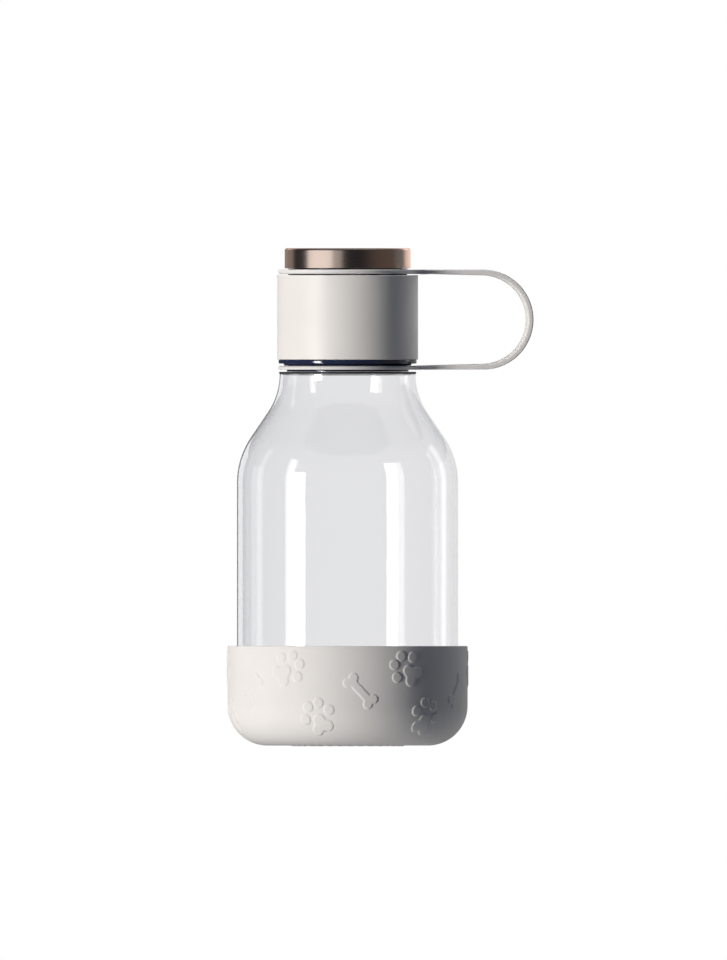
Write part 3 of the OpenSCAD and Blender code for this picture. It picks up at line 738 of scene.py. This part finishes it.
def smooth(share):
    """Goes from 0 to 1 without a kink, and stays within them."""
    share = np.clip(share, 0, 1)
    return share ** 2 * (3 - 2 * share)


def inward(point):
    """Which way is into the strap from its outer face, times its thickness there."""
    x, z = point.x / MM, point.z / MM
    if x > LOOP_X:
        dome = DOME * (x - LOOP_X) / LOOP_R * (1 - (2 * point.y / (LOOP_W * MM)) ** 2)
        return Vector((LOOP_X - x, 0, LOOP_Z - z)).normalized() * (LOOP_T + dome) * MM
    share = min(1, max(0, (x - STRAP_RING_R) / (LOOP_X - STRAP_RING_R)))
    thick = STRAP_T + share ** THICKENING * (LOOP_T - STRAP_T)
    return Vector((0, 0, 1 if z < LOOP_Z else -1)) * thick * MM


def seat(z):
    """How far a face at this height hangs below its place, over the rings."""
    if z < LOWER_RING_Z + NEAR:
        return LOWER_SEAT
    return UPPER_SEAT if abs(z - UPPER_RING_Z) < SEAT_BAND else 0


inner = set(points_of(bmesh.ops.extrude_face_region(strip, geom=strip.faces[:],
                                                    use_keep_orig=True)))
for v in inner:
    v.co += inward(v.co)
bmesh.ops.recalc_face_normals(strip, faces=strip.faces[:])
for v in strip.verts:
    beyond = radius_and_bearing(v.co)[0] - STRAP_RING_R
    if beyond > -RING_EDGE:
        v.co.z -= seat(v.co.z / MM) * (1 - smooth(beyond / SEAT_FADE)) * MM
weight = strip.edges.layers.float.new("bevel_weight_edge")
for e in strip.edges:
    if len(e.link_faces) == 2 and e.calc_face_angle() > radians(RIM_ANGLE):
        e[weight] = 1 if all(v in inner for v in e.verts) else OUTER_ROUND / INNER_ROUND
print("open edges:", sum(len(e.link_faces) != 2 for e in strip.edges))
strap_loop = piece("strap_loop", strip, "strap", "carry_strap", strap_silicone)
rounding = strap_loop.modifiers.new("round_rims", "BEVEL")
rounding.limit_method, rounding.width, rounding.segments = "WEIGHT", INNER_ROUND * MM, 5
strap_loop.modifiers.move(1, 0)

# %% [markdown]
# ## The bowl
# The bowl is a deep round dish with paws and bones raised on its side. They could be a bump in the
# material, but their edges catch the light at the bowl's outline too, so they are real relief.
# A motif is a distance: how far a point lies from its outline. Circles give distances at once, and
# a soft minimum melts them together, as the lobes of a paw's main pad are. Each motif has a bearing
# from the front, a height and a turn, and the set of six comes three times round the bowl.

# %% Motifs
RELIEF, FLANK, FAR_GAP = 0.33, 0.5, 9.0
TOE_R, PALM_R, HEEL_R = 2.25, 2.6, 2.35
KNOB_X, KNOB_Y, KNOB_R = 6.5, 1.7, 2.0
PALM_MELT, HEEL_MELT, KNOB_MELT = 1.8, 2.6, 0.9


def disc(x, y, cx, cy, r):
    """Distance from a circle."""
    return np.hypot(x - cx, y - cy) - r


def melt(a, b, reach):
    """The nearer of two outlines, with a soft hollow of this reach where they meet."""
    share = np.clip(0.5 + 0.5 * (b - a) / reach, 0, 1)
    return b + (a - b) * share - reach * share * (1 - share)


def paw(x, y):
    """Four toes over a palm that melts into two heels."""
    toes = np.minimum(disc(np.abs(x), y, 2.5, 9.3, TOE_R), disc(np.abs(x), y, 5.9, 4.65, TOE_R))
    heel = melt(disc(x, y, -2.7, -1.5, HEEL_R), disc(x, y, 2.7, -1.5, HEEL_R), HEEL_MELT)
    return np.minimum(toes, melt(disc(x, y, 0, 2.2, PALM_R), heel, PALM_MELT))


def bone(x, y):
    """A bar with two knobs at each end."""
    x, y = np.abs(x), np.abs(y)
    return melt(disc(x, y, KNOB_X, KNOB_Y, KNOB_R), np.maximum(x - KNOB_X, y - KNOB_Y), KNOB_MELT)


MOTIFS = ((-32.8, 31.5, -47, paw), (32.3, 31.5, 49, paw), (6.2, 24.1, -47, bone),
          (65, 24.1, 50, bone), (-13.1, 9.3, 21, paw), (40, 9.3, -15, paw))
SETS = (0, 120, -118)


def outline_gap(bearing, height):
    """Distance from the nearest motif's outline, in millimetres, and below 0 inside it."""
    gap = np.full(bearing.shape, FAR_GAP)
    for place, z, turn, shape in MOTIFS:
        for start in SETS:
            x = np.radians((bearing - place - start + 180) % 360 - 180) * BOWL_R
            y, c, s = height - z, cos(radians(turn)), sin(radians(turn))
            gap = np.minimum(gap, shape(x * c + y * s, y * c - x * s))
    return gap


print("motifs on the bowl:", len(SETS) * len(MOTIFS))

# %% [markdown]
# The dish itself is one turned section, with a recess for the pad in its underside. Two helpers
# find the points of its outer side, which runs up the round corner and the straight wall, and put
# them back on it at other bearings and heights, raised or not.

# %% The dish
BOWL_COLUMNS, PAD_T, SIDE_BAND, SIDE_LOW = 288, 1.5, 0.1, 2
z0, rim_z = BOWL["z"], BOWL["z"] + BOWL["height"] - BOWL["rim"]
in_z, in_corner, rim_in_r = z0 + BOWL["floor"], BOWL_CORNER_R - BOWL["wall"], BOWL_IN_R + BOWL["rim"]
dish = Section(0, z0 + PAD_T).to(PAD_R + PRESS_GAP, z0 + PAD_T).to(PAD_R + PRESS_GAP, z0)
dish.to(BOWL_R - BOWL_CORNER_R, z0, 4).arc(BOWL_R - BOWL_CORNER_R, z0 + BOWL_CORNER_R, 90, 24)
dish.to(BOWL_R, rim_z, 22).arc(BOWL_R - BOWL["rim"], rim_z, 90, 6)
dish.to(rim_in_r, z0 + BOWL["height"]).arc(rim_in_r, rim_z, 90, 6)
dish.to(BOWL_IN_R, in_z + in_corner, 2).arc(BOWL_IN_R - in_corner, in_z + in_corner, -90, 16)
dish_mesh = ease(dish.to(0, in_z, 3).turn(BOWL_COLUMNS), 0.2)


def side_points(mesh):
    """The points on the bowl's outer side, with their bearings from the front and heights."""
    places = np.array([v.co for v in mesh.verts]) / MM
    r, height = np.hypot(places[:, 0], places[:, 1]), places[:, 2] - z0
    off_corner = np.hypot(r - BOWL_R + BOWL_CORNER_R, height - BOWL_CORNER_R) - BOWL_CORNER_R
    on_side = np.abs(np.where(height < BOWL_CORNER_R, off_corner, r - BOWL_R)) < SIDE_BAND
    on_side &= (height > SIDE_LOW) & (height < BOWL["height"] - BOWL["rim"] + NEAR)
    mesh.verts.ensure_lookup_table()
    verts = [mesh.verts[i] for i in np.nonzero(on_side)[0]]
    return verts, np.degrees(np.arctan2(places[on_side, 0], -places[on_side, 1])), height[on_side]


def set_side(verts, bearing, height, raised):
    """Puts the points back on the side at their bearings and heights, raised by some relief."""
    down = np.clip(BOWL_CORNER_R - height, 0, None)
    flat = np.sqrt(BOWL_CORNER_R ** 2 - down ** 2)
    r = BOWL_R - BOWL_CORNER_R + flat + raised * flat / BOWL_CORNER_R
    z = z0 + height - raised * down / BOWL_CORNER_R
    turn = np.radians(bearing)
    for v, x, y, up in zip(verts, r * np.sin(turn), -r * np.cos(turn), z):
        v.co = (x * MM, y * MM, up * MM)


print("dish before its relief:", len(dish_mesh.faces), "faces")

# %% [markdown]
# The side needs small faces, but only along the outlines: faces near one are cut in four, twice
# over. The points that fall close to the foot or the top of a flank are moved on to it, so that
# the flank's edges run clean. Which way to move them comes from the slope of the distance.

# %% Relief
CUT_REACHES, SNAP, PROBE, LEAST_STEEP = (1.25, 0.75), 0.12, 0.01, 0.25
for reach in CUT_REACHES:
    verts, bearing, height = side_points(dish_mesh)
    near = {v for v, gap in zip(verts, outline_gap(bearing, height)) if abs(gap) < reach}
    cut = {e for f in dish_mesh.faces if any(v in near for v in f.verts) for e in f.edges}
    bmesh.ops.subdivide_edges(dish_mesh, edges=list(cut), cuts=1, use_grid_fill=True)
    verts, bearing, height = side_points(dish_mesh)
    set_side(verts, bearing, height, np.zeros(len(verts)))
    print("side points after a cut:", len(verts))

gap = outline_gap(bearing, height)
slope_x = (outline_gap(bearing + degrees(PROBE / BOWL_R), height) - gap) / PROBE
slope_z = (outline_gap(bearing, height + PROBE) - gap) / PROBE
steepness = np.maximum(slope_x ** 2 + slope_z ** 2, LEAST_STEEP)
for line in (FLANK / 2, -FLANK / 2):
    move = np.where(np.abs(gap - line) < SNAP, (line - gap) / steepness, 0)
    bearing, height = bearing + np.degrees(move * slope_x / BOWL_R), height + move * slope_z
raised = RELIEF * smooth(0.5 - outline_gap(bearing, height) / FLANK)
set_side(verts, bearing, height, raised)
bowl_dish = piece("bowl_dish", dish_mesh, "bowl", "dog_bowl", bowl_silicone)

# %% [markdown]
# ## The pad under the bowl
# A disc of soft rubber keeps the bowl from sliding. It has a plain middle and rings of low round
# studs. Each stud is a short cone with an eased foot, placed by its ring and its turn.

# %% Pad
PAD_MIDDLE_R, STUD_RINGS, STUD_PITCH = 6.5, 4, 4.6
STUD_FOOT_R, STUD_ROOT_R, STUD_SINK = 1.15, 1.3, 0.05
stud_h = z0 + STUD_SINK
foot = Section(0, 0).to(PAD_MIDDLE_R, 0).to(PAD_MIDDLE_R, z0).to(PAD_R, z0)
foot_mesh = foot.to(PAD_R, z0 + PAD_T).to(0, z0 + PAD_T).turn(128)
for ring_number in range(1, STUD_RINGS + 1):
    stud_ring_r = PAD_MIDDLE_R + STUD_PITCH * ring_number - STUD_ROOT_R
    count = int(2 * pi * stud_ring_r / STUD_PITCH)
    for k in range(count):
        turn = Matrix.Rotation(2 * pi * k / count, 4, "Z")
        place = turn @ Matrix.Translation((stud_ring_r * MM, 0, stud_h / 2 * MM))
        bmesh.ops.create_cone(foot_mesh, cap_ends=True, segments=14, radius1=STUD_FOOT_R * MM,
                              radius2=STUD_ROOT_R * MM, depth=stud_h * MM, matrix=place)
studded_pad = piece("studded_pad", ease(foot_mesh, 0.12), "bowl", "base_pad",
                    pad_rubber)

# %% [markdown]
# ## Floor and surroundings
# The floor is a plain pale plane, shown to the camera alone: it is only there to stand on, and
# would otherwise colour the underside of the bowl and the clear plastic.

# %% Floor
FLOOR_REACH, FLOOR_GLOW, FLOOR_GREY = 3, 0.62, 0.8
plane = bmesh.new()
bmesh.ops.create_grid(plane, x_segments=1, y_segments=1, size=FLOOR_REACH)
floor_data = bpy.data.meshes.new("floor")
plane.to_mesh(floor_data)
plane.free()
floor = bpy.data.objects.new("floor", floor_data)
bpy.context.scene.collection.objects.link(floor)
floor.visible_diffuse = floor.visible_glossy = False
floor.visible_transmission = floor.visible_shadow = False

floor_paint = bpy.data.materials.new("floor_paint")
board = Board(floor_paint)
glow = board.node("Emission", inputs={"Color": tone(1, 1, 1),
                                      "Strength": board.ray("Camera") * FLOOR_GLOW})
matt = board.node("BsdfDiffuse", inputs={"Color": tone(FLOOR_GREY, FLOOR_GREY, FLOOR_GREY)})
board.node("OutputMaterial", inputs={
    "Surface": board.node("AddShader", inputs={0: glow, 1: matt})})
floor.data.materials.append(floor_paint)
print("floor reaches", FLOOR_REACH, "m each way")

# %% [markdown]
# The world is white where the camera or a ray through the clear plastic looks at it. What shines
# sees a dim room instead, a little warmer and brighter towards the right, with a pale backdrop
# behind at the right, which draws the edges of glossy pieces. What is matt gets hardly any light
# from above and a soft bounce from below, as from a pale table. The kind of ray picks among them.

# %% World
BACKDROP_X, BACKDROP_Y = 0.643, 0.766
world = bpy.data.worlds.new("studio")
bpy.context.scene.world = world
board = Board(world)
direction = board.node("TexCoord", output="Generated")
right, behind, up = (board.axis(direction, axis) for axis in "XYZ")
room = board.mix(board.ramp(right, 0.35, 1.0), tone(0.055, 0.055, 0.062), tone(0.27, 0.215, 0.185))
backdrop = board.ramp(BACKDROP_Y * behind + BACKDROP_X * right, 0.7, 0.78)
room = board.mix(backdrop, room, tone(0.42, 0.42, 0.43))
below = board.ramp(up, -0.25, -0.75)
bounce = board.mix(below, tone(0.015, 0.025, 0.048), tone(0.27, 0.275, 0.285))
colour = board.mix(board.ray("Glossy"), bounce, room)
seen = board.ramp(board.ray("Camera") + board.ray("Transmission"), 0, 1)
colour = board.mix(seen, colour, tone(1, 1, 1))
board.node("OutputWorld", inputs={
    "Surface": board.node("Background", inputs={"Color": colour, "Strength": 1.0})})
print("world:", world.name)

# %% [markdown]
# ## Lamps
# A lamp that both lights a piece and shows in its gloss is hard to set: mirror-like pieces show it
# as a burnt patch long before the pale ones are bright. So every lamp does one thing. Without
# `seen_by` it only lights. With it, only the gloss of the listed pieces sees it. Two switches of
# the lamp say which kind of ray sees it, and light linking picks the pieces, through a collection
# of those that it reaches or leaves out.

# %% Putting up a lamp
def lamp_list(name, pieces, state="INCLUDE"):
    """The pieces that a lamp lights, or with EXCLUDE the only pieces that it leaves alone."""
    lit = bpy.data.collections.new(name + "_pieces")
    for thing in pieces:
        lit.objects.link(thing)
    for entry in lit.collection_objects:
        entry.light_linking.link_state = state
    return lit


def put_up(name, lamp, place, seen_by=(), through=False):
    """Puts a lamp in its place; with `through` it is also seen through the clear plastic."""
    stand = bpy.data.objects.new(name, lamp)
    stand.location = place
    stand.visible_camera = False
    stand.visible_diffuse, stand.visible_glossy = not seen_by, bool(seen_by)
    stand.visible_transmission = through
    if seen_by:
        stand.light_linking.receiver_collection = lamp_list(name, seen_by)
    bpy.context.scene.collection.objects.link(stand)
    print(name, round(lamp.energy, 2), "W")
    return stand


def softbox(name, bearing, height, width, tall, radiance, tint=(1, 0.98, 0.96), far=900, **use):
    """A tall lamp on a circle round the bottle, at a bearing from the front, `width` degrees wide."""
    lamp = bpy.data.lights.new(name, "AREA")
    lamp.shape = "RECTANGLE"
    lamp.size, lamp.size_y = 2 * far * tan(radians(width / 2)) * MM, tall * MM
    lamp.energy = radiance * pi * lamp.size * lamp.size_y
    lamp.color = tint
    place = Vector((sin(radians(bearing)), -cos(radians(bearing)), 0)) * far * MM
    stand = put_up(name, lamp, place + Vector((0, 0, height * MM)), **use)
    stand.rotation_euler = (-place).to_track_quat("-Z", "Y").to_euler()
    return stand


def hung(name, height, size, radiance, **use):
    """A square lamp straight above the bottle that shines down."""
    lamp = bpy.data.lights.new(name, "AREA")
    lamp.size = size * MM
    lamp.energy = radiance * pi * lamp.size ** 2
    return put_up(name, lamp, Vector((0, 0, height * MM)), **use)


print("lamps can be put up")

# %% [markdown]
# A tall key lamp at the left lights the pale pieces, which fade away towards the right, and a
# weak one behind at the right lifts their edge. The strap has a key lamp of its own, a little
# further round, so that the lid's shadow on it ends where it should.

# %% Lamps that light
WARM, COOL, CREAM = (1, 0.965, 0.935), (0.95, 0.975, 1), (1, 0.94, 0.88)

# Bearing, height, width in degrees, length, radiance; then tint and distance where they differ.
key_light = softbox("key_light", -51.8, -160, 14, 1780, 17, WARM, 2000)
key_light.light_linking.receiver_collection = lamp_list("key_light", [strap_loop], "EXCLUDE")
strap_key = softbox("strap_key", -55.3, 190, 12, 500, 63, WARM, 2000)
strap_key.light_linking.receiver_collection = lamp_list("strap_key", [strap_loop])
softbox("rim_light", 121, 60, 14, 1000, 1.65)

# %% [markdown]
# Gloss needs things to mirror. The clear plastic and the navy flange show the key lamp as a narrow
# bright line, and the plastic's edges show cards at the left and the right. The cap sees one broad
# lamp and a dimmer one beside it, so that its shine falls off softly, one behind for its right
# edge and a high one for its round top. The satin and pale pieces get sheens of their own.

# %% Lamps that show
GLASS = [bottle_shell, grip_pair]
MIRROR = GLASS + [lid_moulding]
CAP = [metal_cup]
SATIN = [cap_plug, lid_sleeve, strap_loop, *seals]
PALE = SATIN + [metal_cup, bowl_dish, studded_pad]

softbox("key_core", -51.6, -20, 13, 676, 27, seen_by=MIRROR, through=True)
softbox("key_edge", -62.7, 120, 9, 956, 3.5, seen_by=GLASS, through=True)
softbox("rim_core", 119, 110, 10, 1000, 1.3, seen_by=MIRROR, through=True)
softbox("left_card", -107.5, 65, 21, 530, 0.8, COOL, seen_by=GLASS)
softbox("left_edge_card", -150, 65, 20, 530, 1.2, COOL, seen_by=GLASS)
softbox("right_card", 137, 65, 80, 530, 0.55, seen_by=GLASS)
softbox("cap_key", -53, 27, 50, 770, 2.9, seen_by=CAP)
softbox("cap_fade", -19, 27, 18, 770, 1.1, seen_by=CAP)
softbox("key_sheen", -53, 27, 18, 770, 8, seen_by=SATIN)
softbox("left_sheen", -141, 110, 48, 1000, 0.6, seen_by=PALE)
softbox("right_sheen", 142, 110, 36, 1000, 0.6, seen_by=PALE)
softbox("cap_edge", 150, 110, 40, 1000, 1.0, CREAM, 850, seen_by=CAP)
softbox("cap_top", 180, 700, 90, 500, 1.0, (1, 0.95, 0.9), 880, seen_by=CAP)

# %% [markdown]
# Two square lamps hang straight above. The wide one gives the pale tops a faint sheen, and the
# small one lights what faces up. The colours are shown as they come, without a film curve.

# %% Lamps above
hung("top_sheen", 1100, 1800, 0.5, seen_by=PALE)
hung("overhead", 1000, 300, 13)
bpy.context.scene.view_settings.view_transform = "Standard"
